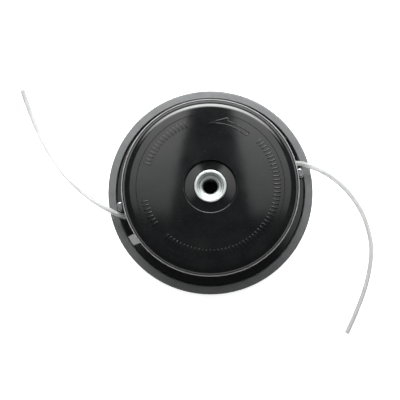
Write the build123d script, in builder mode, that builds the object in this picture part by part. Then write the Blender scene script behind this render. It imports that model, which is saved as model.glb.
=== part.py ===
from build123d import *
import math
import os

os.makedirs("parts", exist_ok=True)

# Tap-and-go trimmer head, two lines, left-hand M10 drive nut.
# Millimetres. Z is the drive axis, up is towards the machine, Z = 0 is the foot of the knob.

# Cap: the wide satin flange and the bowl under it
flange_r = 65.0
flange_width = 5.0
flange_top = 26.0
flange_edge = 1.0
flange_fall = 0.45
bowl_wall = 2.4
bowl_floor = 12.6
knob_gap = 0.7
collar_wall = 2.2
collar_top = 15.6
rib = 0.8
rib_width = 1.6
ribs = 12

# Housing: dome, rim lip, wall and the ledge that nests in the cap
rim_r = flange_r - 9.9
rim_top = 51.5
lip_height = 1.3
shoulder_r = rim_r - 5.6
dome_lip_z = 58.5
dome_drop = 3.7
shell = 2.6
recess_r = 16.15
recess_floor = 56.0
recess_rise = 0.7
recess_edge = 0.5
wall_r = rim_r - 2.5
wall = 2.5
ledge_top = 25.6
ledge_fall = 0.4
ledge_wall = 2.4
skirt_gap = 0.6
skirt_bottom = 19.9
witness_r = shoulder_r - 3.8
boss_r = 13.0
boss_bottom = 38.5
shaft_hole_draft = 8.0
spring_seat = 53.2

# Line outlets, two of them half a turn apart
outlet_angle = 18.0
outlet_z = 33.0
pad_face = wall_r + 1.0
notch_from = 8.5
notch_ramp = 28.0
notch_to = 36.0
notch_floor = 22.4

# Eyelets
eyelet_barrel_r = 4.2
eyelet_bore_r = 3.2
eyelet_flange = 1.5
eyelet_lip_width = 3.6
eyelet_lip_length = 6.0
eyelet_lip_offset = 7.4
eyelet_lip_out = 3.5
eyelet_lip_height = 8.4
eyelet_lip_round = 0.9

# Drive nut
nut_r = 10.0
nut_face = 57.5
nut_flange = 2.5
nut_body_r = 8.0
nut_bottom = 41.0
nut_groove_r = 7.3
nut_groove_up = 5.0
nut_groove = 3.0
thread_minor_r = 4.35
mouth_r = 8.2
mouth_step_r = 6.2
mouth_depth = 1.7
relief_r = 5.5
thread_top = 53.5

# Line and spool
line_d = 3.0
line_sag = 0.6
turns_across = 3
layers = 6
hub_r = 23.0
hub_wall = 3.0
spool_gap = 4.1
spool_flange = 2.0
spool_bottom = 19.0
hub_floor = 2.5
lug_height = 5.0

# Tapping
tap_travel = 5.0
lower_grip = 3.0

# Spring and washer
spring_wire = 2.2
spring_r = hub_r - hub_wall - spring_wire / 2 - 1.6
spring_turns = 6
washer = 1.0

# Knob
knob_r = 29.7
knob_foot_r = 21.0
knob_floor = 3.0
knob_wall = 2.4
snap_r = spring_r - 4.6
snap_wall = 2.1

# Running clearances
turn_gap = 0.3
fit_gap = 0.05

# Derived heights
chamber = turns_across * line_d + 0.3
lower_chamber = spool_bottom + spool_flange
divider = lower_chamber + chamber
upper_chamber = divider + spool_flange
top_flange = upper_chamber + chamber
spool_top = top_flange + spool_flange
washer_z = spool_bottom + hub_floor
spring_z = washer_z + washer
lug_bottom = bowl_floor + turn_gap
cap_cam_top = lug_bottom + lower_grip
ceiling_cam = spool_top + tap_travel + 0.4
seat_in = flange_r - flange_width
skirt_r = seat_in - skirt_gap
inner_wall_r = wall_r - wall
spool_r = inner_wall_r - spool_gap
collar_r = knob_r + knob_gap + collar_wall
lip_bottom = rim_top - lip_height

# Radii and angles of the stops
lower_lug_in = collar_r + 3.4
lower_lug_out = spool_r - 2.0
upper_lug_in = hub_r + 2.0
upper_lug_out = upper_lug_in + 9.0
lower_lug_from = 20.0
lower_lug_span = 10.0
cap_cam_span = 12.0
cap_cam_back = 0.6
upper_lug_from = 30.0
upper_lug_span = 14.0
ceiling_cam_from = 136.0

# Latches that hold the cap on the housing
latch_angle = 104.0
latch_half = 6.0
latch_wall = 2.0
window_z = 28.0
window_height = 10.0


def sector(r_in, r_out, a_from, a_to):
    """Flat ring segment between two radii and two angles."""
    with BuildSketch() as segment:
        with BuildLine():
            inner = CenterArc((0, 0), r_in, a_from, a_to - a_from)
            outer = CenterArc((0, 0), r_out, a_from, a_to - a_from)
            Line(inner @ 0, outer @ 0)
            Line(inner @ 1, outer @ 1)
        make_face()
    return segment.sketch


def radial_plane(angle):
    """Upright plane through the axis: local x is the radius, local y is the height."""
    c = math.cos(math.radians(angle))
    s = math.sin(math.radians(angle))
    return Plane(origin=(0, 0, 0), x_dir=(c, s, 0), z_dir=(s, -c, 0))


def facing_plane(angle, distance, height):
    """Upright plane that faces outwards: local x runs counter-clockwise, local y up."""
    c = math.cos(math.radians(angle))
    s = math.sin(math.radians(angle))
    return Plane(
        origin=(c * distance, s * distance, height), x_dir=(-s, c, 0), z_dir=(c, s, 0)
    )


def dome_z(r, below=0.0):
    """Height of the shallow dome at a radius, or of its underside."""
    k = dome_drop / (shoulder_r**2 - recess_r**2)
    return dome_lip_z - k * (r**2 - recess_r**2) - below


def stadium(r, reach):
    """Outlet pad outline: round at the line, stretched towards the trailing side."""
    with BuildSketch() as outline:
        Circle(r)
        with Locations((-reach, 0)):
            Circle(r)
        with Locations((-reach / 2, 0)):
            Rectangle(reach, 2 * r)
    return outline.sketch


outlets = (outlet_angle, outlet_angle + 180)
latches = (latch_angle, latch_angle + 180)

# Upper housing: dome, recess round the nut, rim lip, wall, ledge and skirt in one moulding
skirt_in = skirt_r - 2.0
ledge_under = ledge_top - ledge_wall
seat_r = spring_r + spring_wire / 2 + 2.1
corner_r = inner_wall_r - 3.5
shoulder_slope = 2 * dome_drop / (shoulder_r**2 - recess_r**2) * shoulder_r

with BuildPart() as upper_housing:
    with BuildSketch(Plane.XZ):
        with BuildLine():
            Polyline(
                (0, recess_floor + recess_rise),
                (nut_r + 0.4, recess_floor + recess_rise),
                (recess_r - 0.5, recess_floor),
                (recess_r, dome_lip_z - recess_edge),
            )
            crown_r = recess_r + recess_edge
            RadiusArc(
                (recess_r, dome_lip_z - recess_edge), (crown_r, dome_z(crown_r)), recess_edge
            )
            mid_r = (recess_r + shoulder_r) / 2
            ThreePointArc(
                (crown_r, dome_z(crown_r)),
                (mid_r, dome_z(mid_r)),
                (shoulder_r, dome_z(shoulder_r)),
            )
            TangentArc(
                (shoulder_r, dome_z(shoulder_r)),
                (rim_r - 1.0, rim_top),
                tangent=(1, -shoulder_slope),
            )
            Line((rim_r - 1.0, rim_top), (rim_r - 0.45, rim_top))
            RadiusArc((rim_r - 0.45, rim_top), (rim_r, rim_top - 0.45), 0.45)
            Polyline(
                (rim_r, rim_top - 0.45),
                (rim_r, lip_bottom + 0.3),
                (rim_r - 0.4, lip_bottom),
                (wall_r - 0.3, lip_bottom - 0.2),
                (wall_r, ledge_top + 1.4),
            )
            RadiusArc((wall_r, ledge_top + 1.4), (wall_r + 1.4, ledge_top), -1.4)
            ledge_edge = ledge_top - ledge_fall
            Line((wall_r + 1.4, ledge_top), (skirt_r - 0.5, ledge_edge))
            RadiusArc((skirt_r - 0.5, ledge_edge), (skirt_r, ledge_edge - 0.5), 0.5)
            Polyline(
                (skirt_r, ledge_edge - 0.5),
                (skirt_r, skirt_bottom),
                (skirt_in, skirt_bottom),
                (skirt_in, ledge_under),
                (inner_wall_r, ledge_under),
                (inner_wall_r, dome_z(corner_r, shell) - 3.5),
            )
            RadiusArc(
                (inner_wall_r, dome_z(corner_r, shell) - 3.5),
                (corner_r, dome_z(corner_r, shell)),
                -3.7,
            )
            under_r = (corner_r + seat_r) / 2
            ThreePointArc(
                (corner_r, dome_z(corner_r, shell)),
                (under_r, dome_z(under_r, shell)),
                (seat_r, dome_z(seat_r, shell)),
            )
            Polyline(
                (seat_r, dome_z(seat_r, shell)),
                (seat_r, spring_seat),
                (boss_r, spring_seat),
                (boss_r, boss_bottom),
                (0, boss_bottom),
                (0, recess_floor + recess_rise),
            )
        make_face()
    revolve(axis=Axis.Z)

    # Fine ring left by the mould insert
    with BuildSketch(Plane.XZ):
        with Locations((witness_r, dome_z(witness_r))):
            Rectangle(0.35, 0.3)
    revolve(axis=Axis.Z, mode=Mode.SUBTRACT)

    # Pocket for the nut: flange, round body with its groove, then the hole for the shaft end
    with BuildSketch(Plane.XY.offset(nut_face - nut_flange)):
        Circle(nut_r + fit_gap)
    extrude(amount=nut_flange, mode=Mode.SUBTRACT)
    with BuildSketch(Plane.XY.offset(nut_bottom)):
        Circle(nut_body_r + fit_gap)
    extrude(amount=nut_face - nut_flange - nut_bottom, mode=Mode.SUBTRACT)
    with BuildSketch(Plane.XY.offset(nut_bottom + nut_groove_up + fit_gap)):
        Circle(nut_body_r + 1.0)
        Circle(nut_groove_r + fit_gap, mode=Mode.SUBTRACT)
    extrude(amount=nut_groove - 2 * fit_gap)
    with BuildSketch(Plane.XY.offset(nut_bottom)):
        Circle(thread_minor_r + 1.2)
    extrude(amount=boss_bottom - nut_bottom, taper=-shaft_hole_draft, mode=Mode.SUBTRACT)

    # Outlet pads on the wall, and the sunk notch in the ledge under each outlet
    for angle in outlets:
        with BuildSketch(facing_plane(angle, wall_r - 2.0, outlet_z)):
            add(stadium(6.0, 4.2))
        extrude(amount=pad_face - wall_r + 2.0)
        with BuildSketch(facing_plane(angle, inner_wall_r - 3.0, outlet_z)):
            Circle(eyelet_barrel_r + fit_gap)
        extrude(amount=pad_face - inner_wall_r + 4.0, mode=Mode.SUBTRACT)
        turn = angle - outlet_angle
        with BuildSketch(Plane.XY.offset(skirt_bottom)):
            add(sector(inner_wall_r, skirt_in + 1.0, notch_from - 2 + turn, notch_to + 2 + turn))
        extrude(amount=ledge_under - skirt_bottom + 0.4)
        with BuildSketch(Plane.XY.offset(notch_floor)):
            add(sector(wall_r + 0.8, skirt_r + 2.0, notch_from + turn, notch_ramp + 0.5 + turn))
        extrude(amount=ledge_top - notch_floor + 0.8, mode=Mode.SUBTRACT)
        ramp_angle = (notch_ramp + notch_to) / 2 + turn
        half = skirt_r * math.tan(math.radians((notch_to - notch_ramp) / 2))
        with BuildSketch(facing_plane(ramp_angle, wall_r + 0.8, notch_floor)):
            rise = ledge_top - notch_floor
            Polygon(
                (-half, 0),
                (half, rise),
                (half, rise + 0.8),
                (-half, rise + 0.8),
                align=None,
            )
        extrude(amount=skirt_r - wall_r + 2.0, mode=Mode.SUBTRACT)

    # Windows in the wall for the two cap latches
    for angle in latches:
        with BuildSketch(Plane.XY.offset(window_z)):
            add(sector(inner_wall_r - 1.0, wall_r + 1.0, angle - latch_half - 1, angle + latch_half + 1))
        extrude(amount=window_height, mode=Mode.SUBTRACT)

    # Cams under the ceiling that catch the spool while the knob is pressed in
    for turn in (0, 180):
        cam_from = ceiling_cam_from + turn
        with BuildSketch(Plane.XY.offset(ceiling_cam)):
            add(sector(upper_lug_in, upper_lug_out, cam_from, cam_from + upper_lug_span))
        extrude(amount=dome_z(upper_lug_out, shell / 2) - ceiling_cam)
upper_housing.part.label = "upper_housing"
export_step(upper_housing.part, "parts/upper_housing.step")

# Drive nut: plated steel insert, flange and round body with a groove that the moulding fills
with BuildPart() as drive_nut:
    with BuildSketch(Plane.XY.offset(nut_bottom)):
        Circle(nut_body_r)
    extrude(amount=nut_face - nut_flange - nut_bottom)
    with BuildSketch(Plane.XY.offset(nut_face - nut_flange)):
        Circle(nut_r)
    extrude(amount=nut_flange)
    chamfer(drive_nut.edges().group_by(Axis.Z)[-1], 0.4)
    with BuildSketch(Plane.XY.offset(nut_bottom + nut_groove_up)):
        Circle(nut_body_r + 1.0)
        Circle(nut_groove_r, mode=Mode.SUBTRACT)
    extrude(amount=nut_groove, mode=Mode.SUBTRACT)
    with BuildSketch(Plane.XZ):
        with BuildLine():
            Polyline(
                (0, nut_face),
                (mouth_r, nut_face),
                (mouth_step_r, nut_face - mouth_depth),
                (relief_r, nut_face - mouth_depth),
                (relief_r, thread_top + relief_r - thread_minor_r),
                (thread_minor_r, thread_top),
                (thread_minor_r, nut_bottom),
                (0, nut_bottom),
                (0, nut_face),
            )
        make_face()
    revolve(axis=Axis.Z, mode=Mode.SUBTRACT)
drive_nut.part.label = "drive_nut"
export_step(drive_nut.part, "parts/drive_nut.step")


def make_eyelet(angle):
    """Metal line guide: barrel in the wall, oval flange and a round lip on the trailing side."""
    c = math.cos(math.radians(angle))
    s = math.sin(math.radians(angle))
    lip = pad_face + eyelet_flange + eyelet_lip_out - eyelet_lip_width / 2
    lip_x = lip * c + eyelet_lip_offset * s
    lip_y = lip * s - eyelet_lip_offset * c
    with BuildPart() as lip_bar:
        with BuildSketch(Plane.XY.offset(outlet_z - eyelet_lip_height / 2)):
            with Locations(Location((lip_x, lip_y, 0), (0, 0, angle + 83))):
                SlotOverall(eyelet_lip_length, eyelet_lip_width)
        extrude(amount=eyelet_lip_height)
        fillet(lip_bar.edges().group_by(Axis.Z)[-1], eyelet_lip_round)
    with BuildPart() as eyelet:
        with BuildSketch(facing_plane(angle, inner_wall_r - 0.8, outlet_z)):
            Circle(eyelet_barrel_r)
        extrude(amount=pad_face - inner_wall_r + 0.8)
        with BuildSketch(facing_plane(angle, pad_face, outlet_z)):
            add(stadium(5.2, 4.0))
        extrude(amount=eyelet_flange)
        add(lip_bar.part)
        with BuildSketch(facing_plane(angle, pad_face - 4.0, outlet_z)):
            add(stadium(8.0, 6.0))
        extrude(amount=4.0, mode=Mode.SUBTRACT)
        with BuildSketch(facing_plane(angle, inner_wall_r - 0.8, outlet_z)):
            Circle(eyelet_barrel_r)
        extrude(amount=pad_face - inner_wall_r + 0.8)
        with BuildSketch(facing_plane(angle, inner_wall_r - 2.0, outlet_z)):
            Circle(eyelet_bore_r)
        extrude(amount=12.0, mode=Mode.SUBTRACT)
        bore_edges = eyelet.edges().filter_by(GeomType.CIRCLE)
        bore_edges = bore_edges.filter_by(lambda e: abs(e.radius - eyelet_bore_r) < 0.01)
        fillet(bore_edges.sort_by(lambda e: e.center().length)[-1], 0.9)
        fillet(bore_edges.sort_by(lambda e: e.center().length)[0], 0.6)
    return eyelet


eyelet_right = make_eyelet(outlets[0])
eyelet_right.part.label = "eyelet_right"
export_step(eyelet_right.part, "parts/eyelet_right.step")

eyelet_left = make_eyelet(outlets[1])
eyelet_left.part.label = "eyelet_left"
export_step(eyelet_left.part, "parts/eyelet_left.step")

# Spool: hub with two line chambers, stops above and below, slots for the knob fingers
with BuildPart() as spool:
    with BuildSketch(Plane.XZ):
        with BuildLine():
            Polyline(
                (0, spool_bottom),
                (spool_r, spool_bottom),
                (spool_r, lower_chamber),
                (hub_r, lower_chamber),
                (hub_r, divider),
                (spool_r, divider),
                (spool_r, upper_chamber),
                (hub_r, upper_chamber),
                (hub_r, top_flange),
                (spool_r, top_flange),
                (spool_r, spool_top),
                (hub_r - hub_wall, spool_top),
                (hub_r - hub_wall, washer_z),
                (0, washer_z),
                (0, spool_bottom),
            )
        make_face()
    revolve(axis=Axis.Z)
    with BuildSketch(Plane.XY.offset(spool_bottom)):
        Circle(8.5)
        for turn in (0, 120, 240):
            add(sector(snap_r - snap_wall - 0.3, snap_r + 0.3, turn - 23, turn + 23))
    extrude(amount=hub_floor, mode=Mode.SUBTRACT)
    with BuildSketch(Plane.XY.offset(divider)):
        with Locations((0, spool_r - 5.0)):
            Rectangle(line_d + 0.8, 14.0)
    extrude(amount=spool_flange, mode=Mode.SUBTRACT)
    for level in (spool_bottom, top_flange):
        with BuildSketch(Plane.XY.offset(level)):
            with PolarLocations(spool_r, 2, start_angle=70):
                Rectangle(9.0, line_d + 0.3)
        extrude(amount=spool_flange, mode=Mode.SUBTRACT)
    with BuildSketch(Plane.XY.offset(lug_bottom)):
        for turn in (0, 90, 180, 270):
            lug_from = lower_lug_from + turn
            add(sector(lower_lug_in, lower_lug_out, lug_from, lug_from + lower_lug_span))
    extrude(amount=spool_bottom - lug_bottom)
    with BuildSketch(Plane.XY.offset(spool_top)):
        for turn in (0, 180):
            lug_from = upper_lug_from + turn
            add(sector(upper_lug_in, upper_lug_out, lug_from, lug_from + upper_lug_span))
    extrude(amount=lug_height)
spool.part.label = "spool"
export_step(spool.part, "parts/spool.step")


def make_winding(level):
    """Closed outer shape of the line wound in one chamber, ridged turn by turn."""
    z = level + 0.15
    inner = hub_r + 0.1
    outer = inner + (layers - 0.5) * line_d
    with BuildPart() as winding:
        with BuildSketch(Plane.XZ):
            with BuildLine():
                for turn in range(turns_across):
                    ThreePointArc(
                        (outer, z + turn * line_d),
                        (outer + line_d / 2, z + (turn + 0.5) * line_d),
                        (outer, z + (turn + 1) * line_d),
                    )
                Polyline(
                    (outer, z + turns_across * line_d),
                    (inner, z + turns_across * line_d),
                    (inner, z),
                    (outer, z),
                )
            make_face()
        revolve(axis=Axis.Z)
    return winding


line_winding_lower = make_winding(lower_chamber)
line_winding_lower.part.label = "line_winding_lower"
export_step(line_winding_lower.part, "parts/line_winding_lower.step")

line_winding_upper = make_winding(upper_chamber)
line_winding_upper.part.label = "line_winding_upper"
export_step(line_winding_upper.part, "parts/line_winding_upper.step")

# Thrust washer between the spring and the hub floor of the spool
with BuildPart() as thrust_washer:
    with BuildSketch(Plane.XY.offset(washer_z)):
        Circle(hub_r - hub_wall - turn_gap)
        Circle(spring_r - spring_wire - 0.6, mode=Mode.SUBTRACT)
    extrude(amount=washer)
thrust_washer.part.label = "thrust_washer"
export_step(thrust_washer.part, "parts/thrust_washer.step")

# Feed spring: round wire, from the washer up to the seat round the housing boss
spring_from = spring_z + spring_wire / 2
spring_height = spring_seat - spring_wire / 2 - spring_from
with BuildPart() as feed_spring:
    with BuildLine():
        coil = Helix(spring_height / spring_turns, spring_height, spring_r, center=(0, 0, spring_from))
    with BuildSketch(Plane(origin=coil @ 0, z_dir=coil % 0)):
        Circle(spring_wire / 2)
    sweep(path=coil, is_frenet=True)
feed_spring.part.label = "feed_spring"
export_step(feed_spring.part, "parts/feed_spring.step")

# Bump knob: fluted cup with a flat wear foot, ribs inside and three snap fingers
with BuildPart() as bump_knob:
    with BuildSketch(Plane.XZ):
        with BuildLine():
            Line((0, 0), (knob_foot_r, 0))
            EllipticalCenterArc(
                (knob_foot_r, 5.2), knob_r - knob_foot_r, 5.2, start_angle=270, arc_size=90
            )
            Polyline(
                (knob_r, 5.2),
                (knob_r, spool_bottom),
                (knob_r - knob_wall, spool_bottom),
                (knob_r - knob_wall, knob_floor + 3.0),
                (knob_r - knob_wall - 4.0, knob_floor),
                (snap_r, knob_floor),
                (snap_r, spool_bottom - 6.0),
                (snap_r - snap_wall - 1.0, spool_bottom - 6.0),
                (snap_r - snap_wall - 1.0, knob_floor),
                (0, knob_floor),
                (0, 0),
            )
        make_face()
    revolve(axis=Axis.Z)
    with BuildSketch(Plane.XY.offset(knob_floor - 0.5)):
        with PolarLocations((snap_r + knob_r - knob_wall) / 2, 6, start_angle=30):
            Rectangle(knob_r - knob_wall - snap_r + 1.0, 1.6)
    extrude(amount=8.0)
    with BuildSketch(Plane.XY.offset(spool_bottom - 7.0)):
        for turn in (0, 120, 240):
            add(sector(snap_r - snap_wall, snap_r, turn - 21, turn + 21))
    extrude(amount=washer_z + 2.8 - spool_bottom + 7.0)
    for turn in (0, 120, 240):
        with BuildSketch(radial_plane(turn)):
            Polygon(
                (snap_r - 0.5, washer_z + 0.1),
                (snap_r + 1.3, washer_z + 0.1),
                (snap_r + 1.3, washer_z + 0.9),
                (snap_r, washer_z + 2.8),
                (snap_r - 0.5, washer_z + 2.8),
                align=None,
            )
        extrude(amount=3.4, both=True)
    with BuildSketch():
        with PolarLocations(knob_r + 3.4, 14):
            Circle(5.0)
    extrude(amount=7.6, mode=Mode.SUBTRACT)
    with BuildSketch():
        Circle(6.0)
    extrude(amount=0.5, mode=Mode.SUBTRACT)
bump_knob.part.label = "bump_knob"
export_step(bump_knob.part, "parts/bump_knob.step")

# Bottom cap: flange, bowl with ribs under it, collar round the knob, stops and two latch fingers
seat_z = skirt_bottom - turn_gap
opening_r = knob_r + knob_gap
bowl_r = flange_r - 4.2
edge_z = flange_top - flange_fall
with BuildPart() as bottom_cap:
    with BuildSketch(Plane.XZ):
        with BuildLine():
            Polyline(
                (opening_r, collar_top),
                (opening_r, bowl_floor - 4.0),
                (collar_r + 0.8, bowl_floor - 4.0),
                (collar_r + 1.8, bowl_floor - 3.0),
                (spool_r, bowl_floor - bowl_wall),
            )
            ThreePointArc(
                (spool_r, bowl_floor - bowl_wall),
                ((spool_r + bowl_r) / 2 + 1.1, bowl_floor + 0.3),
                (bowl_r, seat_z - 1.6),
            )
            Line((bowl_r, seat_z - 1.6), (flange_r - 1.2, seat_z + 1.0))
            RadiusArc((flange_r - 1.2, seat_z + 1.0), (flange_r, seat_z + 2.8), -2.2)
            Line((flange_r, seat_z + 2.8), (flange_r, edge_z - flange_edge))
            RadiusArc((flange_r, edge_z - flange_edge), (flange_r - flange_edge, edge_z), -flange_edge)
            Polyline(
                (flange_r - flange_edge, edge_z),
                (seat_in + 0.3, flange_top),
                (seat_in, flange_top - 0.3),
                (seat_in, seat_z),
                (skirt_in, seat_z),
            )
            ThreePointArc(
                (skirt_in, seat_z),
                ((spool_r + skirt_in) / 2 + 1.5, bowl_floor + 2.6),
                (spool_r, bowl_floor),
            )
            Polyline(
                (spool_r, bowl_floor),
                (collar_r, bowl_floor),
                (collar_r, collar_top),
                (opening_r, collar_top),
            )
        make_face()
    revolve(axis=Axis.Z)
    middle_r = (spool_r + bowl_r) / 2
    for turn in range(ribs):
        with BuildSketch(radial_plane((turn + 0.5) * 360 / ribs)):
            Polygon(
                (collar_r + 2.4, bowl_floor - 3.6),
                (spool_r + 0.5, bowl_floor - bowl_wall - rib),
                (middle_r + 1.5, bowl_floor + 0.3 - rib),
                (bowl_r - 0.1, seat_z - 1.6 - rib),
                (bowl_r - 1.6, seat_z - 1.4),
                (middle_r + 0.4, bowl_floor + 1.4),
                (spool_r, bowl_floor - 1.2),
                (collar_r + 2.4, bowl_floor - 1.8),
                align=None,
            )
        extrude(amount=rib_width / 2, both=True)
    with BuildSketch(Plane.XY.offset(bowl_floor - 0.6)):
        for turn in (0, 90, 180, 270):
            cam_to = lower_lug_from - cap_cam_back + turn
            add(sector(lower_lug_in, lower_lug_out, cam_to - cap_cam_span, cam_to))
    extrude(amount=cap_cam_top - bowl_floor + 0.6)
    for angle in latches:
        with BuildSketch(Plane.XY.offset(bowl_floor - 0.6)):
            finger_r = inner_wall_r - 0.4
            add(sector(finger_r - latch_wall, finger_r, angle - latch_half, angle + latch_half))
        extrude(amount=window_z + window_height - bowl_floor + 0.6)
        with BuildSketch(radial_plane(angle)):
            barb_top = window_z + window_height - 0.6
            Polygon(
                (inner_wall_r - 1.0, window_z + 0.1),
                (wall_r - 0.3, window_z + 0.1),
                (wall_r - 0.3, barb_top - 4.9),
                (inner_wall_r - 0.5, barb_top),
                (inner_wall_r - 1.0, barb_top),
                align=None,
            )
        extrude(amount=5.0, both=True)
bottom_cap.part.label = "bottom_cap"
export_step(bottom_cap.part, "parts/bottom_cap.step")


def make_tail(offsets, angle):
    """Free end of the line: straight runs joined by the widest tangent arcs they allow."""
    mouth_x = pad_face * math.cos(math.radians(angle))
    mouth_y = pad_face * math.sin(math.radians(angle))
    route = [(x + mouth_x, y + mouth_y, z) for x, y, z in offsets]
    radii = []
    for before, here, after in zip(route, route[1:], route[2:]):
        run_in = Vector(*here) - Vector(*before)
        run_out = Vector(*after) - Vector(*here)
        half_turn = math.radians(run_in.get_angle(run_out)) / 2
        radii.append(0.45 * min(run_in.length, run_out.length) / math.tan(half_turn))
    with BuildPart() as tail:
        with BuildLine():
            path = FilletPolyline(*route, radius=radii)
        with BuildSketch(Plane(origin=path @ 0, z_dir=path % 0)):
            Circle(line_d / 2)
        sweep(path=path)
    print("tail radii", [round(r, 1) for r in radii])
    print("tail volume", round(tail.part.volume, 1), "tube", round(path.length * math.pi * line_d**2 / 4, 1))
    print("tail length", round(path.length, 1))
    return tail


# Routes of the two tails, measured from the middle of the outlet pads, heights from the floor
line_z = outlet_z - line_sag
floor_z = line_d / 2 + 0.05
right_route = [
    (-6.58, -0.66, line_z),
    (3.52, 1.74, line_z),
    (13.52, -1.56, 31.0),
    (24.02, -5.56, 26.6),
    (38.02, -16.16, 18.6),
    (48.02, -30.56, 10.6),
    (53.42, -47.76, 4.5),
    (52.22, -65.56, 1.8),
    (45.62, -87.16, floor_z),
    (36.72, -105.76, floor_z),
]
line_tail_right = make_tail(right_route, outlets[0])
line_tail_right.part.label = "line_tail_right"
export_step(line_tail_right.part, "parts/line_tail_right.step")

left_route = [
    (6.78, 0.86, line_z),
    (-2.92, -0.54, line_z),
    (-13.62, 4.66, 31.0),
    (-24.22, 11.26, 26.4),
    (-38.42, 23.56, 18.2),
    (-50.72, 38.76, 9.8),
    (-61.22, 57.16, 4.0),
    (-68.52, 74.56, 1.75),
    (-72.62, 86.46, floor_z),
]
line_tail_left = make_tail(left_route, outlets[1])
line_tail_left.part.label = "line_tail_left"
export_step(line_tail_left.part, "parts/line_tail_left.step")
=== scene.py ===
import math

import bmesh
import bpy
from bpy.props import FloatProperty, FloatVectorProperty, IntProperty, PointerProperty
from bpy.types import Operator, Panel, PropertyGroup
from mathutils import Matrix, Vector


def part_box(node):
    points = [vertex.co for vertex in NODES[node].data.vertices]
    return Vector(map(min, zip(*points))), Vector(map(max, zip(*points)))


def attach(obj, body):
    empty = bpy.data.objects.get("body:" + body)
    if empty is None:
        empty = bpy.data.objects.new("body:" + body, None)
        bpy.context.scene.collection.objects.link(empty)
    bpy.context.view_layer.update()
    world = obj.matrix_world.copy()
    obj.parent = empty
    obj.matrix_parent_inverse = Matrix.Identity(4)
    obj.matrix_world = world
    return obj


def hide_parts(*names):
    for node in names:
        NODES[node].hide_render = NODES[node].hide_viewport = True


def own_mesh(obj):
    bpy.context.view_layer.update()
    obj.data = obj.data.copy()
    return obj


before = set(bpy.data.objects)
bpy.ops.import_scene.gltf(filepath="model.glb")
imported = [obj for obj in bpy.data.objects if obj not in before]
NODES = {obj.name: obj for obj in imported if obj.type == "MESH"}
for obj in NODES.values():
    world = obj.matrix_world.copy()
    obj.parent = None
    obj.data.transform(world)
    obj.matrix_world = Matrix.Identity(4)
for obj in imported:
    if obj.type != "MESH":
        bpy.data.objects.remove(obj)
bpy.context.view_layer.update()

bl_info = {
    "name": "Trimmer Head",
    "version": (1, 0, 0),
    "blender": (4, 5, 0),
    "location": "View3D > Sidebar > Trimmer Head",
    "description": "Dresses a tap-and-go trimmer head: gloss housing, satin cap, plated nut, nylon line",
    "category": "Add Mesh",
}

# Radii and heights on the housing and the nut, in metres
RIM_R = 0.0551
RIM_Z = 0.0515
DOME_TOP = 0.0585
DOME_DROP = 0.0037
DOME_INNER_R = 0.01615
DOME_OUTER_R = 0.0495
# Radii of the two grooves in the nut's mouth, which are painted dark as shade
NUT_GROOVES = (0.00802, 0.00698)
# Radius of the nut's bore, inside which the colour is painted dark as shade
NUT_BORE_SHADE_R = 0.0048

# Route of each loose line end, in metres, from inside its eyelet to the cut end
TAIL_ROUTES = {
    "line_tail_right": [
        (0.0444, 0.0159, 0.0324),
        (0.0545, 0.0183, 0.0324),
        (0.0645, 0.0150, 0.0310),
        (0.0750, 0.0110, 0.0266),
        (0.0890, 0.0004, 0.0186),
        (0.0990, -0.0140, 0.0106),
        (0.1044, -0.0312, 0.0045),
        (0.1032, -0.0490, 0.0018),
        (0.0966, -0.0706, 0.00155),
        (0.0877, -0.0892, 0.00155),
    ],
    "line_tail_left": [
        (-0.0442, -0.0157, 0.0324),
        (-0.0539, -0.0171, 0.0324),
        (-0.0646, -0.0119, 0.0310),
        (-0.0752, -0.0053, 0.0264),
        (-0.0894, 0.0070, 0.0182),
        (-0.1017, 0.0222, 0.0098),
        (-0.1122, 0.0406, 0.0040),
        (-0.1195, 0.0580, 0.00175),
        (-0.1236, 0.0699, 0.00155),
    ],
}


def length_prop(name, description, default):
    """Size in metres with Blender's length unit."""
    return FloatProperty(
        name=name, description=description, default=default, min=0.0, precision=5, unit="LENGTH"
    )


def colour_prop(name, description, default):
    """Linear colour."""
    return FloatVectorProperty(
        name=name, description=description, default=default, size=3, min=0.0, max=1.0, subtype="COLOR"
    )


def factor_prop(name, description, default):
    """Share from nothing to full."""
    return FloatProperty(
        name=name, description=description, default=default, min=0.0, max=1.0, subtype="FACTOR"
    )


def light_prop(name, description, default):
    """Brightness, with no upper limit."""
    return FloatProperty(name=name, description=description, default=default, min=0.0)


def angle_prop(name, description, degrees):
    """Angle, given in degrees."""
    return FloatProperty(
        name=name, description=description, default=math.radians(degrees), subtype="ANGLE"
    )


class TRIMMERHEAD_PG_sizes(PropertyGroup):
    """Sizes of the pieces that are made here."""

    line_diameter: length_prop("Line diameter", "Thickness of the nylon line", 0.003)
    right_length: length_prop("Right tail length", "Free line from the right outlet", 0.151)
    left_length: length_prop("Left tail length", "Free line from the left outlet", 0.1299)
    thread_pitch: length_prop("Thread pitch", "Rise of the nut thread per turn", 0.00125)
    thread_depth: length_prop("Thread depth", "From crest to root of the nut thread", 0.00062)
    arrow_width: length_prop("Arrow ridge width", "Width of the moulded arrow line", 0.0009)
    arrow_height: length_prop("Arrow ridge height", "Height of the arrow over the dome", 0.0005)
    tick_radius: length_prop("Tick radius", "From the drive axis to the inner end of a ridge", 0.0388)
    tick_length: length_prop("Tick length", "Length of each ridge round the dome", 0.0048)
    tick_width: length_prop("Tick width", "Width of each ridge round the dome", 0.001)
    tick_height: length_prop("Tick height", "Height of each ridge over the dome", 0.0005)
    tick_spacing: FloatProperty(
        name="Tick spacing", description="Degrees between two ridges", default=3.4, min=1.0
    )
    spring_wire: length_prop("Spring wire", "Thickness of the spring wire", 0.0022)
    spring_radius: length_prop("Spring radius", "Middle of the wire to the drive axis", 0.0173)
    spring_turns: IntProperty(name="Spring turns", description="Coils of the spring", default=6, min=3)


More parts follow.
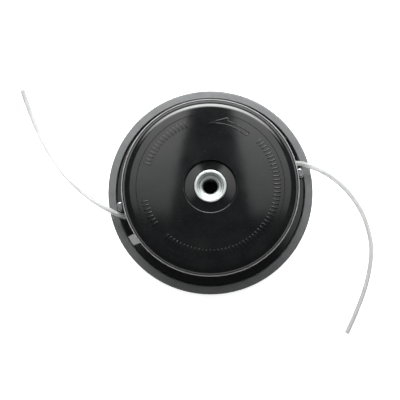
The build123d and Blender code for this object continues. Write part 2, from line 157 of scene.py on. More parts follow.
class TRIMMERHEAD_PG_finish(PropertyGroup):
    """Colours and gloss of the finishes."""

    housing: colour_prop("Housing", "Gloss black moulding", (0.003, 0.0035, 0.0039))
    housing_roughness: factor_prop("Housing roughness", "Polish of the dome", 0.1)
    # Paleness of a highlight painted along the housing's rim
    rim_highlight: factor_prop("Rim highlight", "Paleness of the highlight painted along the parting line", 0.2)
    cap: colour_prop("Cap", "Satin dark grey moulding", (0.092, 0.096, 0.097))
    cap_roughness: factor_prop("Cap roughness", "Grain of the flange", 0.34)
    knob: colour_prop("Knob", "Satin black moulding", (0.03, 0.03, 0.032))
    knob_roughness: factor_prop("Knob roughness", "Grain of the knob", 0.36)
    spool: colour_prop("Spool", "Dull dark moulding", (0.026, 0.026, 0.028))
    spool_roughness: factor_prop("Spool roughness", "Grain of the spool", 0.5)
    zinc: colour_prop("Zinc plate", "Bright plated steel", (0.54, 0.575, 0.565))
    wire: colour_prop("Spring wire", "Drawn steel", (0.42, 0.41, 0.4))
    eyelet: colour_prop("Eyelet", "Polished aluminium", (0.4, 0.41, 0.42))
    line: colour_prop("Line", "Natural nylon", (0.67, 0.68, 0.67))


class TRIMMERHEAD_PG_stage(PropertyGroup):
    """Camera, lights and floor."""

    tilt: angle_prop("Camera tilt", "Lean of the view away from straight down", 6.0)
    swing: angle_prop("Camera swing", "Lean of the view to the right", 0.5)
    distance: length_prop("Camera distance", "From the lens to the flange", 0.9)
    lens: FloatProperty(name="Lens", description="Focal length", default=127.74, unit="CAMERA")
    floor: colour_prop("Floor", "Pale table", (0.9, 0.9, 0.9))
    panels: light_prop("Panels", "Brightness of the two overhead panels", 3.5)
    splay: angle_prop("Panel splay", "Turn of each panel, so that the two close in towards the back", 9.0)
    back: light_prop("Back light", "Brightness of the low light behind", 18.0)
    fill: light_prop("Fill light", "Brightness of the soft light from above", 3.6)
    room: light_prop("Room", "Brightness of the room", 0.1)
    glow: light_prop("Floor glow", "Light that the table gives back", 0.75)
    floor_in_gloss: factor_prop("Floor in gloss", "How bright the table is in reflections", 0.8)


# Shader helpers


def feed(tree, socket, source):
    """Links a socket to another one, or gives it a fixed value."""
    if isinstance(source, bpy.types.NodeSocket):
        tree.links.new(source, socket)
    elif socket.type == "RGBA" and len(source) == 3:
        socket.default_value = (*source, 1.0)
    else:
        socket.default_value = source


def math_node(tree, operation, a, b=0.0, c=0.0, clamp=False):
    """Result of a Math node."""
    made = tree.nodes.new("ShaderNodeMath")
    made.operation = operation
    made.use_clamp = clamp
    for socket, source in zip(made.inputs, (a, b, c)):
        feed(tree, socket, source)
    return made.outputs[0]


def range_node(tree, value, low, high, to_low=0.0, to_high=1.0, smooth=False):
    """Value mapped from one range to another."""
    made = tree.nodes.new("ShaderNodeMapRange")
    made.interpolation_type = "SMOOTHSTEP" if smooth else "LINEAR"
    names = ("Value", "From Min", "From Max", "To Min", "To Max")
    for name, source in zip(names, (value, low, high, to_low, to_high)):
        feed(tree, made.inputs[name], source)
    return made.outputs[0]


def colour_mix(tree, factor, a, b):
    """Colour between a and b."""
    made = tree.nodes.new("ShaderNodeMix")
    made.data_type = "RGBA"
    # A Mix node holds one set of sockets per data type, and these are the ones for colours
    for socket, source in ((0, factor), (6, a), (7, b)):
        feed(tree, made.inputs[socket], source)
    return made.outputs[2]


def noise_node(tree, vector, scale, detail=3.0, roughness=0.55):
    """Cloudy noise."""
    made = tree.nodes.new("ShaderNodeTexNoise")
    feed(tree, made.inputs["Vector"], vector)
    feed(tree, made.inputs["Scale"], scale)
    feed(tree, made.inputs["Detail"], detail)
    feed(tree, made.inputs["Roughness"], roughness)
    return made.outputs["Fac"]


def stretched(tree, vector, scale, turn=0.0):
    """Coordinates scaled by axis and turned about the drive axis."""
    made = tree.nodes.new("ShaderNodeMapping")
    feed(tree, made.inputs["Vector"], vector)
    feed(tree, made.inputs["Scale"], scale)
    feed(tree, made.inputs["Rotation"], (0.0, 0.0, turn))
    return made.outputs[0]


def place(tree):
    """Coordinates of the head itself, in metres."""
    return tree.nodes.new("ShaderNodeTexCoord").outputs["Object"]


def from_axis(tree):
    """Distance from the drive axis, and the height."""
    parts = tree.nodes.new("ShaderNodeSeparateXYZ")
    feed(tree, parts.inputs[0], place(tree))
    flat = tree.nodes.new("ShaderNodeCombineXYZ")
    feed(tree, flat.inputs["X"], parts.outputs["X"])
    feed(tree, flat.inputs["Y"], parts.outputs["Y"])
    far = tree.nodes.new("ShaderNodeVectorMath")
    far.operation = "LENGTH"
    feed(tree, far.inputs[0], flat.outputs[0])
    return far.outputs["Value"], parts.outputs["Z"]


def new_group(name, inputs, outputs):
    """Empty shader group with named value sockets; gives the tree, its inputs and its outputs."""
    tree = bpy.data.node_groups.new(name, "ShaderNodeTree")
    for label, default in inputs:
        made = tree.interface.new_socket(name=label, in_out="INPUT", socket_type="NodeSocketFloat")
        made.default_value = default
    for label in outputs:
        tree.interface.new_socket(name=label, in_out="OUTPUT", socket_type="NodeSocketFloat")
    return tree, tree.nodes.new("NodeGroupInput").outputs, tree.nodes.new("NodeGroupOutput").inputs


def edge_wear_group():
    """Rubbed edges: where the rounded normal leaves the face normal, broken up by noise."""
    tree, given, out = new_group("Edge Wear", [("Radius", 0.0006), ("Breakup", 900.0)], ["Mask"])
    bevel = tree.nodes.new("ShaderNodeBevel")
    bevel.samples = 6
    feed(tree, bevel.inputs["Radius"], given["Radius"])
    face = tree.nodes.new("ShaderNodeNewGeometry")
    dot = tree.nodes.new("ShaderNodeVectorMath")
    dot.operation = "DOT_PRODUCT"
    feed(tree, dot.inputs[0], bevel.outputs[0])
    feed(tree, dot.inputs[1], face.outputs["Normal"])
    edge = range_node(tree, dot.outputs["Value"], 0.995, 0.86)
    patches = range_node(tree, noise_node(tree, place(tree), given["Breakup"], 4.0, 0.6), 0.42, 0.66)
    feed(tree, out["Mask"], math_node(tree, "MULTIPLY", edge, patches, clamp=True))
    return tree


def grain_group():
    """Mould texture: fine spark grain over a slow swell of the surface."""
    tree, given, out = new_group(
        "Mould Grain", [("Grain Scale", 2600.0), ("Swell Scale", 60.0), ("Swell", 0.5)], ["Height", "Spots"]
    )
    where = place(tree)
    fine = noise_node(tree, where, given["Grain Scale"], 4.0, 0.62)
    slow = noise_node(tree, where, given["Swell Scale"], 1.5, 0.4)
    feed(tree, out["Height"], math_node(tree, "MULTIPLY_ADD", slow, given["Swell"], fine))
    spots = noise_node(tree, where, math_node(tree, "MULTIPLY", given["Grain Scale"], 0.08), 5.0, 0.65)
    feed(tree, out["Spots"], spots)
    return tree


def scratch_group():
    """Hairline scratches in three directions, as a mask."""
    tree, given, out = new_group("Hairlines", [("Density", 1.0), ("Scale", 1.0)], ["Mask"])
    where = tree.nodes.new("ShaderNodeVectorMath")
    where.operation = "SCALE"
    feed(tree, where.inputs[0], place(tree))
    feed(tree, where.inputs["Scale"], given["Scale"])
    lines = []
    for turn, seed in ((0.6, 0.0), (-1.1, 7.3), (2.2, 3.1)):
        made = tree.nodes.new("ShaderNodeTexNoise")
        made.noise_dimensions = "4D"
        feed(tree, made.inputs["Vector"], stretched(tree, where.outputs[0], (2600.0, 26.0, 400.0), turn))
        feed(tree, made.inputs["W"], seed)
        feed(tree, made.inputs["Scale"], 1.0)
        feed(tree, made.inputs["Detail"], 2.0)
        lines.append(range_node(tree, made.outputs["Fac"], 0.69, 0.74))
    lines = math_node(tree, "MAXIMUM", math_node(tree, "MAXIMUM", lines[0], lines[1]), lines[2])
    patches = range_node(tree, noise_node(tree, place(tree), 45.0, 2.0), 0.45, 0.7)
    lines = math_node(tree, "MULTIPLY", lines, patches)
    feed(tree, out["Mask"], math_node(tree, "MULTIPLY", lines, given["Density"], clamp=True))
    return tree


def dust_group():
    """Thin dust on faces that look up, gathered in patches."""
    tree, given, out = new_group("Dust", [("Amount", 0.3)], ["Mask"])
    face = tree.nodes.new("ShaderNodeNewGeometry")
    parts = tree.nodes.new("ShaderNodeSeparateXYZ")
    feed(tree, parts.inputs[0], face.outputs["Normal"])
    up = range_node(tree, parts.outputs["Z"], 0.2, 0.95, smooth=True)
    where = place(tree)
    cloud = range_node(tree, noise_node(tree, where, 70.0, 5.0, 0.65), 0.4, 0.8)
    specks = range_node(tree, noise_node(tree, where, 1500.0, 2.0, 0.5), 0.66, 0.72)
    both = math_node(tree, "MAXIMUM", math_node(tree, "MULTIPLY", cloud, 0.35), specks)
    settled = math_node(tree, "MULTIPLY", both, up)
    feed(tree, out["Mask"], math_node(tree, "MULTIPLY", settled, given["Amount"], clamp=True))
    return tree


def turning_group():
    """Rings left by the lathe round the drive axis."""
    tree, given, out = new_group("Turning Marks", [("Pitch", 0.00022)], ["Height", "Tint"])
    where = place(tree)
    turns = math_node(tree, "DIVIDE", from_axis(tree)[0], given["Pitch"])
    wave = math_node(tree, "SINE", math_node(tree, "MULTIPLY", turns, math.tau))
    rough = noise_node(tree, where, 900.0, 4.0, 0.6)
    feed(tree, out["Height"], math_node(tree, "MULTIPLY", wave, rough))
    feed(tree, out["Tint"], noise_node(tree, where, 240.0, 4.0, 0.6))
    return tree


def shared_group(name):
    """The shader group of that name, built at its first use."""
    builders = {
        "Edge Wear": edge_wear_group,
        "Mould Grain": grain_group,
        "Hairlines": scratch_group,
        "Dust": dust_group,
        "Turning Marks": turning_group,
    }
    return bpy.data.node_groups.get(name) or builders[name]()


def use_group(tree, name, **values):
    """Places a shared group in a material; underscores in the value names stand for spaces."""
    made = tree.nodes.new("ShaderNodeGroup")
    made.node_tree = shared_group(name)
    for label, value in values.items():
        feed(tree, made.inputs[label.replace("_", " ")], value)
    return made.outputs


def new_material(name):
    """Material with one Principled BSDF; gives the material, its tree and the shader."""
    made = bpy.data.materials.new(name)
    made.use_nodes = True
    shader = made.node_tree.nodes["Principled BSDF"]
    return made, made.node_tree, shader


def bump(tree, shader, height, strength, distance):
    """Bends a shader's normal by a height."""
    made = tree.nodes.new("ShaderNodeBump")
    made.inputs["Strength"].default_value = strength
    made.inputs["Distance"].default_value = distance
    feed(tree, made.inputs["Height"], height)
    feed(tree, shader.inputs["Normal"], made.outputs[0])


def rim_highlight(tree, spots):
    """Mask of a pale highlight painted along the parting line at the housing's rim."""
    far, height = from_axis(tree)
    ring = range_node(tree, far, RIM_R - 0.0008, RIM_R - 0.0005, smooth=True)
    low = range_node(tree, height, RIM_Z - 0.0012, RIM_Z - 0.0007, smooth=True)
    patches = range_node(tree, spots, 0.25, 0.6, 0.55, 1.0)
    return math_node(tree, "MULTIPLY", math_node(tree, "MULTIPLY", ring, low), patches)


def moulded_plastic(name, colour, roughness, grain, swell, depth, wear, dust, hairlines, highlight_paleness=0.0):
    """Injection moulded plastic: grain, swell, worn edges, dust and hairlines, and where asked a painted
    highlight along the housing's rim.
    """
    made, tree, shader = new_material(name)
    texture = use_group(tree, "Mould Grain", Grain_Scale=grain, Swell=swell)
    worn = use_group(tree, "Edge Wear", Radius=0.0005)["Mask"]
    dusty = use_group(tree, "Dust", Amount=dust)["Mask"]
    lines = use_group(tree, "Hairlines", Density=hairlines)["Mask"]
    pale = tuple(min(1.0, c * 3.0 + 0.03) for c in colour)
    deep = tuple(c * 0.8 for c in colour)
    base = colour_mix(tree, range_node(tree, texture["Spots"], 0.3, 0.7), deep, colour)
    base = colour_mix(tree, math_node(tree, "MULTIPLY", worn, wear), base, pale)
    base = colour_mix(tree, dusty, base, (0.3, 0.29, 0.27))
    rough = range_node(tree, texture["Spots"], 0.25, 0.75, roughness * 0.82, roughness * 1.22)
    # Painted highlight: a thin pale ring in the base colour along the rim, also made rougher
    if highlight_paleness:
        rim_highlight_mask = rim_highlight(tree, texture["Spots"])
        base = colour_mix(tree, rim_highlight_mask, base, (highlight_paleness, highlight_paleness, highlight_paleness))
        rough = math_node(tree, "MULTIPLY_ADD", rim_highlight_mask, 0.35, rough)
    feed(tree, shader.inputs["Base Color"], base)
    rough = math_node(tree, "MULTIPLY_ADD", lines, 0.12, rough)
    rough = math_node(tree, "MULTIPLY_ADD", dusty, 0.3, rough, clamp=True)
    feed(tree, shader.inputs["Roughness"], rough)
    bump(tree, shader, texture["Height"], 1.0, depth)
    return made


def plated_metal(name, colour, roughness, tint, rings, wear, bore_shade_r=0.0):
    """Plated or polished metal with turning marks, a faint tint and worn edges.

    Given a bore radius, the colour is painted dark inside the bore and along the grooves round it: painted
    shade.
    """
    made, tree, shader = new_material(name)
    marks = use_group(tree, "Turning Marks", Pitch=rings)
    worn = use_group(tree, "Edge Wear", Radius=0.0004, Breakup=1400.0)["Mask"]
    lines = use_group(tree, "Hairlines", Density=1.0, Scale=1.6)["Mask"]
    base = colour_mix(tree, range_node(tree, marks["Tint"], 0.35, 0.7), colour, tint)
    base = colour_mix(tree, math_node(tree, "MULTIPLY", worn, wear), base, (0.9, 0.9, 0.9))
    if bore_shade_r:
        far = from_axis(tree)[0]
        # Painted shade: the base colour darkened along the two grooves of the stepped mouth
        for groove in NUT_GROOVES:
            off = math_node(tree, "ABSOLUTE", math_node(tree, "SUBTRACT", far, groove))
            groove_shade = range_node(tree, off, 0.00028, 0.0001, 0.0, 0.75, smooth=True)
            base = colour_mix(tree, groove_shade, base, (0.16, 0.17, 0.16))
        # Painted shade: the base colour darkened deep in the bore, a little unevenly
        bore_shade_mask = range_node(tree, far, bore_shade_r, bore_shade_r - 0.0003, smooth=True)
        bore_shade_share = range_node(tree, marks["Tint"], 0.3, 0.7, 0.85, 0.97)
        base = colour_mix(tree, math_node(tree, "MULTIPLY", bore_shade_mask, bore_shade_share), base, (0.012, 0.012, 0.011))
    feed(tree, shader.inputs["Base Color"], base)
    shader.inputs["Metallic"].default_value = 1.0
    rough = range_node(tree, marks["Tint"], 0.25, 0.75, roughness * 0.8, roughness * 1.2)
    feed(tree, shader.inputs["Roughness"], math_node(tree, "MULTIPLY_ADD", lines, 0.1, rough))
    bump(tree, shader, marks["Height"], 0.6, 0.00003)
    return made


def line_nylon(name, colour, ribs=8):
    """Extruded nylon line: milky and translucent, with ribs along it and handling marks."""
    made, tree, shader = new_material(name)
    where = place(tree)
    cloud = noise_node(tree, where, 130.0, 4.0, 0.6)
    draw = noise_node(tree, stretched(tree, where, (900.0, 900.0, 2400.0)), 1.0, 3.0, 0.6)
    along = tree.nodes.new("ShaderNodeUVMap")
    along.uv_map = "UVMap"
    parts = tree.nodes.new("ShaderNodeSeparateXYZ")
    feed(tree, parts.inputs[0], along.outputs[0])
    roll = math_node(tree, "MULTIPLY_ADD", parts.outputs["X"], 0.6, parts.outputs["Y"])
    rib = math_node(tree, "COSINE", math_node(tree, "MULTIPLY", roll, ribs * math.tau))
    milky, deep = (tuple(c * share for c in colour) for share in (0.9, 0.8))
    base = colour_mix(tree, range_node(tree, cloud, 0.3, 0.7), milky, colour)
    # Painted shade: the troughs between the ribs darkened in the base colour
    base = colour_mix(tree, range_node(tree, rib, -0.4, -1.0, 0.0, 0.3), base, deep)
    feed(tree, shader.inputs["Base Color"], base)
    feed(tree, shader.inputs["Roughness"], range_node(tree, draw, 0.3, 0.7, 0.5, 0.65))
    fixed = {
        "IOR": 1.53,
        "Specular IOR Level": 0.2,
        "Transmission Weight": 0.72,
        "Subsurface Weight": 0.3,
        "Subsurface Radius": (1.0, 1.0, 1.0),
        "Subsurface Scale": 0.001,
    }
    for label, value in fixed.items():
        shader.inputs[label].default_value = value
    height = math_node(tree, "MULTIPLY_ADD", draw, 0.25, math_node(tree, "MULTIPLY", rib, 0.5))
    bump(tree, shader, height, 0.8, 0.00018)
    return made


def finish_material(slot):
    """The finish of a material slot, built at its first use."""
    finish = bpy.context.scene.trimmer_head_finish
    name = "finish_" + slot
    known = bpy.data.materials.get(name)
    if known:
        return known
    if slot == "housing":
        return moulded_plastic(
            name, finish.housing, finish.housing_roughness, grain=1400.0, swell=8.0, depth=0.000008,
            wear=0.35, dust=0.04, hairlines=0.5, highlight_paleness=finish.rim_highlight,
        )
    if slot == "cap":
        return moulded_plastic(
            name, finish.cap, finish.cap_roughness, grain=2600.0, swell=0.4, depth=0.00006,
            wear=0.5, dust=0.06, hairlines=0.4,
        )
    if slot == "knob":
        return moulded_plastic(
            name, finish.knob, finish.knob_roughness, grain=2200.0, swell=0.5, depth=0.00005,
            wear=0.8, dust=0.05, hairlines=1.0,
        )
    if slot == "spool":
        return moulded_plastic(
            name, finish.spool, finish.spool_roughness, grain=2000.0, swell=0.5, depth=0.00005,
            wear=0.5, dust=0.05, hairlines=0.5,
        )
    if slot == "zinc_steel":
        return plated_metal(
            name, finish.zinc, roughness=0.48, tint=(0.44, 0.48, 0.46), rings=0.00022, wear=0.5,
            bore_shade_r=NUT_BORE_SHADE_R,
        )
    if slot == "spring_steel":
        return plated_metal(
            name, finish.wire, roughness=0.3, tint=(0.3, 0.28, 0.26), rings=0.0011, wear=0.4
        )
    if slot == "eyelet_metal":
        return plated_metal(
            name, finish.eyelet, roughness=0.14, tint=(0.31, 0.32, 0.32), rings=0.0007, wear=0.9
        )
    return line_nylon(name, finish.line)


def dress(node, slot):
    """Gives a CAD node its finish."""
    for held in NODES[node].material_slots:
        held.material = finish_material(slot)


def dome_height(r):
    """Height of the housing's dome at a distance from the axis, in metres."""
    fall = DOME_DROP / (DOME_OUTER_R**2 - DOME_INNER_R**2)
    return DOME_TOP - fall * (r * r - DOME_INNER_R**2)


def mesh_piece(name, shape, body, slot, smooth_angle=35.0):
    """Turns a bmesh into an object with a finish that rides on a body."""
    bmesh.ops.recalc_face_normals(shape, faces=shape.faces)
    mesh = bpy.data.meshes.new(name)
    shape.to_mesh(mesh)
    shape.free()
    mesh.materials.append(finish_material(slot))
    mesh.shade_smooth()
    mesh.set_sharp_from_angle(angle=math.radians(smooth_angle))
    piece = bpy.data.objects.new(name, mesh)
    bpy.context.scene.collection.objects.link(piece)
    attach(piece, body)
    return piece


def skin(shape, rings, around=True, along=False):
    """Faces between rows of vertices; around closes each row, along joins the last row to the first."""
    rows = [[shape.verts.new(p) for p in ring] for ring in rings]
    pairs = list(zip(rows, rows[1:]))
    if along:
        pairs.append((rows[-1], rows[0]))
    for a, b in pairs:
        n = len(a)
        for i in range(n if around else n - 1):
            j = (i + 1) % n
            shape.faces.new((a[i], a[j], b[j], b[i]))
    return rows


def ring_round(angle, r, z, thick, sides):
    """Section of a wound wire: a circle round the point at an angle, a radius and a height."""
    points = []
    for side in range(sides):
        roll = math.tau * side / sides
        reach = r + thick * math.cos(roll)
        points.append((reach * math.cos(angle), reach * math.sin(angle), z + thick * math.sin(roll)))
    return points


def capped(rings):
    """Closed bar through the rings."""
    shape = bmesh.new()
    rows = skin(shape, rings)
    shape.faces.new(rows[0])
    shape.faces.new(rows[-1])
    return shape


class TRIMMERHEAD_OT_camera(Operator):
    """Set the camera at the photograph's view, almost straight down on the nut side"""

    bl_idname = "trimmer_head.camera"
    bl_label = "Camera"

    def execute(self, context):
        stage = context.scene.trimmer_head_stage
        target = Vector((-0.0066, -0.00528, 0.026))
        back = Vector((math.sin(stage.swing), -math.sin(stage.tilt), 0.0))
        back.z = math.sqrt(1.0 - back.length_squared)
        right = Vector((1.0, 0.0, -back.x / back.z)).normalized()
        up = back.cross(right)
        data = bpy.data.cameras.new("camera")
        data.lens = stage.lens
        data.sensor_width = 36.0
        data.clip_start = 0.05
        data.clip_end = 20.0
        camera = bpy.data.objects.new("camera", data)
        turn = Matrix((right, up, back)).transposed().to_4x4()
        camera.matrix_world = Matrix.Translation(target + back * stage.distance) @ turn
        context.scene.collection.objects.link(camera)
        context.scene.camera = camera
        return {"FINISHED"}


class TRIMMERHEAD_OT_line_tails(Operator):
    """Lay the two loose line ends from their outlets down to the floor"""

    bl_idname = "trimmer_head.line_tails"
    bl_label = "Line tails"

    def execute(self, context):
        sizes = context.scene.trimmer_head_sizes
        for name, route in TAIL_ROUTES.items():
            data = bpy.data.curves.new(name + "_line", "CURVE")
            data.dimensions = "3D"
            data.bevel_depth = sizes.line_diameter / 2
            data.bevel_resolution = 6
            data.resolution_u = 16
            data.use_fill_caps = True
            spline = data.splines.new("NURBS")
            spline.points.add(len(route) - 1)
            for point, at in zip(spline.points, route):
                point.co = (*at, 1.0)
            spline.order_u = 3
            spline.use_endpoint_u = True
            data.materials.append(finish_material("line"))
            tail = bpy.data.objects.new(name + "_line", data)
            context.scene.collection.objects.link(tail)
            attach(tail, "housing")
            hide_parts(name)
        return {"FINISHED"}


def on_dome(r, degrees, rise=0.0):
    """Point on the dome at a radius and an angle, raised by a little."""
    a = math.radians(degrees)
    return Vector((r * math.cos(a), r * math.sin(a), dome_height(r) + rise))


class TRIMMERHEAD_OT_housing(Operator):
    """Finish the gloss housing and raise its direction arrow and the ticks round the dome"""

    bl_idname = "trimmer_head.housing"
    bl_label = "Housing"

    def execute(self, context):
        sizes = context.scene.trimmer_head_sizes
        dress("upper_housing", "housing")
        self.arrow(sizes)
        self.ticks(sizes)
        return {"FINISHED"}

    def arrow(self, sizes):
        """Half-barbed outline that points counter-clockwise."""
        outline = [
            (0.0391, 91.2), (0.0412, 83.3), (0.0438, 76.1), (0.0419, 74.7), (0.0416, 67.4),
            (0.0413, 61.9), (0.0411, 56.2), (0.0409, 54.0), (0.0386, 54.5), (0.0388, 61.1),
            (0.0391, 66.2), (0.0395, 72.5), (0.0395, 77.4), (0.0394, 83.6),
        ]
        section = ((-1.0, 0.0), (-0.55, 0.8), (-0.15, 1.0), (0.15, 1.0), (0.55, 0.8), (1.0, 0.0))
        sink = 0.0004
        points = [on_dome(r, a).to_2d() for r, a in outline]
        half = sizes.arrow_width / 2
        rings = []
        for i, here in enumerate(points):
            before = (here - points[i - 1]).normalized()
            after = (points[(i + 1) % len(points)] - here).normalized()
            along = (before + after).normalized()
            side = Vector((along.y, -along.x))
            reach = half / max(0.35, side.dot(Vector((after.y, -after.x))))
            ring = []
            for share, lift in section:
                at = here + side * reach * share
                rise = lift * sizes.arrow_height if lift else -sink
                ring.append((at.x, at.y, dome_height(at.length) + rise))
            rings.append(ring)
        shape = bmesh.new()
        skin(shape, rings, around=True, along=True)
        mesh_piece("direction_arrow", shape, "housing", "housing", 60.0)

    def ticks(self, sizes):
        """Short radial ridges, evenly spaced, in three runs round the dome."""
        shape = bmesh.new()
        runs = ((43.0, -131.0), (160.0, 112.0), (214.0, 193.0))
        for start, end in runs:
            count = int(abs(end - start) / sizes.tick_spacing)
            for n in range(count + 1):
                self.tick(shape, sizes, start + (end - start) * n / count)
        mesh_piece("dome_ticks", shape, "housing", "housing", 60.0)

    def tick(self, shape, sizes, angle):
        """One ridge with rounded ends and a rounded top."""
        plan = ((0.0, 0.3), (0.06, 0.75), (0.16, 1.0), (0.84, 1.0), (0.94, 0.75), (1.0, 0.3))
        sink = 0.0003
        rings = []
        for step, width in plan:
            r = sizes.tick_radius + sizes.tick_length * step
            lift = sizes.tick_height * width
            wide = math.degrees(sizes.tick_width / 2 * width / r)
            section = (
                (-1.0, -sink), (-0.7, lift * 0.75), (-0.25, lift),
                (0.25, lift), (0.7, lift * 0.75), (1.0, -sink),
            )
            rings.append([on_dome(r, angle + wide * side, rise) for side, rise in section])
        rows = skin(shape, rings)
        shape.faces.new(rows[0])
        shape.faces.new(rows[-1])


class TRIMMERHEAD_OT_drive_nut(Operator):
    """Make the plated nut: flange, stepped mouth, left-hand thread and knurled body"""

    bl_idname = "trimmer_head.drive_nut"
    bl_label = "Drive nut"

    def execute(self, context):
        sizes = context.scene.trimmer_head_sizes
        crest, top, bottom = 0.00435, 0.0535, 0.041
        body, knurl_depth, teeth, groove_low = 0.008, 0.00022, 36, 0.046
        rows_per_turn = 14

        def knurl(angle):
            return body - knurl_depth * abs((angle * teeth / math.pi) % 2.0 - 1.0)

        # Up the body from its groove, over the flange and down the stepped mouth
        profile = (
            (0.0073, groove_low), (0.0073, 0.049), (knurl, 0.049), (knurl, 0.055),
            (0.01, 0.055), (0.01, 0.0571), (0.00992, 0.05735), (0.0097, 0.05748),
            (0.0096, 0.0575), (0.00838, 0.0575), (0.00829, 0.05747), (0.00822, 0.05725),
            (0.00806, 0.05712), (0.00798, 0.05722), (0.00788, 0.05722), (0.00712, 0.0568),
            (0.00706, 0.05662), (0.00696, 0.05656), (0.00688, 0.05666), (0.0063, 0.05632),
            (0.00622, 0.05612), (0.0061, 0.056), (0.0056, 0.05598), (0.00553, 0.05594),
            (0.0055, 0.05585), (0.0055, 0.0549),
        )
        rings = [self.ring(r, z) for r, z in profile]
        rows = int((top - bottom) / sizes.thread_pitch * rows_per_turn)
        for row in range(rows + 1):
            z = top - (top - bottom) * row / rows
            fade = min(1.0, (top - z) / sizes.thread_pitch, (z - bottom) / sizes.thread_pitch)

            def thread(angle, z=z, fade=fade):
                phase = (z / sizes.thread_pitch - angle / math.tau) % 1.0
                root = min(1.0, max(0.0, 1.9 - abs(phase - 0.5) * 5.0))
                return crest + sizes.thread_depth * root * fade

            rings.append(self.ring(thread, z))
        rings.append(self.ring(knurl, bottom))
        rings.append(self.ring(knurl, groove_low))
        shape = bmesh.new()
        skin(shape, rings, around=True, along=True)
        nut = mesh_piece("drive_nut_threaded", shape, "housing", "zinc_steel", 32.0)
        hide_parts("drive_nut")
        return {"FINISHED"}

    def ring(self, r, z, steps=144):
        """Circle of points at a height; r is a radius, or gives one for each angle."""
        points = []
        for i in range(steps):
            a = math.tau * i / steps
            reach = r(a) if callable(r) else r
            points.append((reach * math.cos(a), reach * math.sin(a), z))
        return points


class TRIMMERHEAD_OT_cap(Operator):
    """Finish the satin cap and the bump knob"""

    bl_idname = "trimmer_head.cap"
    bl_label = "Cap and knob"

    def execute(self, context):
        dress("bottom_cap", "cap")
        dress("bump_knob", "knob")
        return {"FINISHED"}


class TRIMMERHEAD_OT_metalwork(Operator):
    """Finish the eyelets and the thrust washer"""

    bl_idname = "trimmer_head.metalwork"
    bl_label = "Eyelets and washer"

    def execute(self, context):
        dress("eyelet_right", "eyelet_metal")
        dress("eyelet_left", "eyelet_metal")
        dress("thrust_washer", "zinc_steel")
        return {"FINISHED"}


class TRIMMERHEAD_OT_spring(Operator):
    """Wind the feed spring with closed ends, on a mesh of its own (the real spring shortens when the knob
    is tapped)
    """

    bl_idname = "trimmer_head.spring"
    bl_label = "Feed spring"

    def execute(self, context):
        sizes = context.scene.trimmer_head_sizes
        low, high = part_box("feed_spring")
        r = sizes.spring_wire / 2
        bottom, top = low[2] + r, high[2] - r
        turns, per_turn, sides = sizes.spring_turns, 64, 12
        steps = turns * per_turn
        rings = []
        for step in range(steps + 1):
            angle = math.tau * step / per_turn
            z = bottom + (top - bottom) * step / steps
            end = min(step, steps - step)
            thick = r * (0.55 + 0.45 * min(1.0, end / 2.0))
            rings.append(ring_round(angle, sizes.spring_radius, z, thick, sides))
        spring = mesh_piece("feed_spring_coil", capped(rings), "housing", "spring_steel", 50.0)
        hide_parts("feed_spring")
        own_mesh(spring)
        return {"FINISHED"}


class TRIMMERHEAD_OT_spool(Operator):
    """Finish the spool and wind the line into its two chambers"""

    bl_idname = "trimmer_head.spool"
    bl_label = "Spool and windings"

    def execute(self, context):
        sizes = context.scene.trimmer_head_sizes
        dress("spool", "spool")
        d = sizes.line_diameter
        turns, layers, per_turn, sides = 3, 6, 60, 8
        for name in ("line_winding_lower", "line_winding_upper"):
            low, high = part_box(name)
            inner = high[0] - layers * d
            bottom = low[2] + d / 2
            steps = turns * layers * per_turn
            rings = []
            for step in range(steps + 1):
                turn = step / per_turn
                layer = min(layers - 1, int(turn // turns))
                share = (turn - layer * turns) / turns
                climb = min(1.0, max(0.0, (share - 0.02) / 0.96))
                climb = climb if layer % 2 == 0 else 1.0 - climb
                lift = min(1.0, max(0.0, (share - 0.9) / 0.1)) if layer < layers - 1 else 0.0
                r = inner + d * (layer + 0.5 + lift)
                z = bottom + climb * (turns - 1) * d
                rings.append(ring_round(math.tau * turn, r, z, d / 2, sides))
            winding = mesh_piece(name + "_turns", capped(rings), "spool", "line", 60.0)
            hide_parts(name)
        return {"FINISHED"}


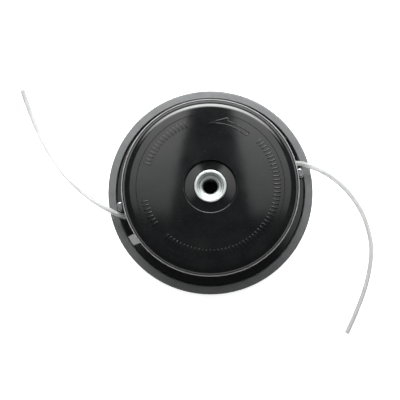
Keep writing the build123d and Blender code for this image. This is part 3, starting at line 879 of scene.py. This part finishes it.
class TRIMMERHEAD_OT_stage(Operator):
    """Make the pale floor, the soft lights and the room"""

    bl_idname = "trimmer_head.stage"
    bl_label = "Stage"

    def execute(self, context):
        stage = context.scene.trimmer_head_stage
        shape = bmesh.new()
        bmesh.ops.create_grid(shape, x_segments=8, y_segments=8, size=3.0)
        mesh = bpy.data.meshes.new("floor")
        shape.to_mesh(mesh)
        shape.free()
        floor = bpy.data.objects.new("floor", mesh)
        context.scene.collection.objects.link(floor)
        made, tree, shader = new_material("pale_floor")
        cloud = noise_node(tree, place(tree), 4.0, 3.0)
        base = tuple(stage.floor)
        shade = tuple(c * 0.985 for c in base)
        feed(tree, shader.inputs["Base Color"], colour_mix(tree, cloud, base, shade))
        shader.inputs["Roughness"].default_value = 0.9
        shader.inputs["Specular IOR Level"].default_value = 0.1
        shader.inputs["Emission Color"].default_value = (1.0, 1.0, 1.0, 1.0)
        shader.inputs["Emission Strength"].default_value = stage.glow
        dark = tree.nodes.new("ShaderNodeBsdfDiffuse")
        feed(tree, dark.inputs["Color"], tuple(c * stage.floor_in_gloss for c in base))
        path = tree.nodes.new("ShaderNodeLightPath")
        face = tree.nodes.new("ShaderNodeNewGeometry")
        clear = tree.nodes.new("ShaderNodeBsdfTransparent")
        seen = self.mix(tree, path.outputs["Is Glossy Ray"], shader.outputs[0], dark.outputs[0])
        seen = self.mix(tree, face.outputs["Backfacing"], seen, clear.outputs[0])
        feed(tree, tree.nodes["Material Output"].inputs["Surface"], seen)
        mesh.materials.append(made)

        for name, x in (("panel_left", -0.55), ("panel_right", 0.55)):
            made = self.panel(
                name, (x, 0.58, 1.54), size=(0.7, 1.36), radiance=stage.panels, edges=(0.06, 0.12), near=0.2
            )
            made.rotation_euler.z = math.copysign(stage.splay, x)
        fill = self.panel(
            "panel_fill", (0.0, 0.1, 1.9), size=(1.6, 1.6), radiance=stage.fill, edges=(0.3, 0.3)
        )
        fill.visible_glossy = False
        self.panel(
            "panel_back", (0.0, 1.25, 0.88), target=(0.0, 0.0, 0.04), size=(3.4, 1.1),
            radiance=stage.back, edges=(0.5, 0.3),
        )

        world = bpy.data.worlds.new("room")
        world.use_nodes = True
        tree = world.node_tree
        room = tree.nodes["Background"]
        room.inputs["Color"].default_value = (1.0, 1.0, 1.0, 1.0)
        path = tree.nodes.new("ShaderNodeLightPath")
        backdrop = 0.95
        strength = range_node(tree, path.outputs["Is Camera Ray"], 0.0, 1.0, stage.room, backdrop)
        feed(tree, room.inputs["Strength"], strength)
        context.scene.world = world
        context.scene.view_settings.view_transform = "Standard"
        return {"FINISHED"}

    def mix(self, tree, factor, a, b):
        """Mixed shader of two."""
        made = tree.nodes.new("ShaderNodeMixShader")
        for socket, source in zip(made.inputs, (factor, a, b)):
            feed(tree, socket, source)
        return made.outputs[0]

    def panel(self, name, at, size, radiance, edges, near=1.0, target=None):
        """Area light with soft edges, pointed down or at a target.

        radiance is the brightness of its far side, and near the share of it at the near side.
        """
        data = bpy.data.lights.new(name, "AREA")
        data.shape = "RECTANGLE"
        data.size, data.size_y = size
        data.energy = radiance * math.pi * size[0] * size[1]
        data.use_nodes = True
        tree = data.node_tree
        where = tree.nodes.new("ShaderNodeNewGeometry")
        parts = tree.nodes.new("ShaderNodeSeparateXYZ")
        feed(tree, parts.inputs[0], where.outputs["Parametric"])
        glow = range_node(tree, parts.outputs["Y"], 0.0, 1.0, near, 1.0)
        for axis, edge in zip(("X", "Y"), edges):
            off = math_node(tree, "ABSOLUTE", math_node(tree, "SUBTRACT", parts.outputs[axis], 0.5))
            glow = math_node(tree, "MULTIPLY", glow, range_node(tree, off, 0.5, 0.5 - edge, smooth=True))
        feed(tree, tree.nodes["Emission"].inputs["Strength"], glow)
        lamp = bpy.data.objects.new(name, data)
        lamp.location = at
        if target:
            lamp.rotation_euler = (Vector(target) - Vector(at)).to_track_quat("-Z", "Y").to_euler()
        bpy.context.scene.collection.objects.link(lamp)
        return lamp


class TRIMMERHEAD_PT_panel(Panel):
    """Lists the pieces of the head and their settings"""

    bl_idname = "TRIMMERHEAD_PT_panel"
    bl_label = "Trimmer Head"
    bl_space_type = "VIEW_3D"
    bl_region_type = "UI"
    bl_category = "Trimmer Head"

    def draw(self, context):
        column = self.layout.column()
        for operator in OPERATORS:
            column.operator(operator.bl_idname)
        for group in ("trimmer_head_sizes", "trimmer_head_finish", "trimmer_head_stage"):
            settings = getattr(context.scene, group)
            for name in settings.__annotations__:
                column.prop(settings, name)


OPERATORS = (
    TRIMMERHEAD_OT_camera,
    TRIMMERHEAD_OT_line_tails,
    TRIMMERHEAD_OT_housing,
    TRIMMERHEAD_OT_drive_nut,
    TRIMMERHEAD_OT_cap,
    TRIMMERHEAD_OT_metalwork,
    TRIMMERHEAD_OT_spring,
    TRIMMERHEAD_OT_spool,
    TRIMMERHEAD_OT_stage,
)
GROUPS = {
    "trimmer_head_sizes": TRIMMERHEAD_PG_sizes,
    "trimmer_head_finish": TRIMMERHEAD_PG_finish,
    "trimmer_head_stage": TRIMMERHEAD_PG_stage,
}


def register():
    for made in (*GROUPS.values(), *OPERATORS, TRIMMERHEAD_PT_panel):
        bpy.utils.register_class(made)
    for name, made in GROUPS.items():
        setattr(bpy.types.Scene, name, PointerProperty(type=made))


def unregister():
    for name in GROUPS:
        delattr(bpy.types.Scene, name)
    for made in reversed((*GROUPS.values(), *OPERATORS, TRIMMERHEAD_PT_panel)):
        bpy.utils.unregister_class(made)


def main():
    register()
    for operator in OPERATORS:
        family, name = operator.bl_idname.split(".")
        getattr(getattr(bpy.ops, family), name)()


if __name__ == "__main__":
    main()
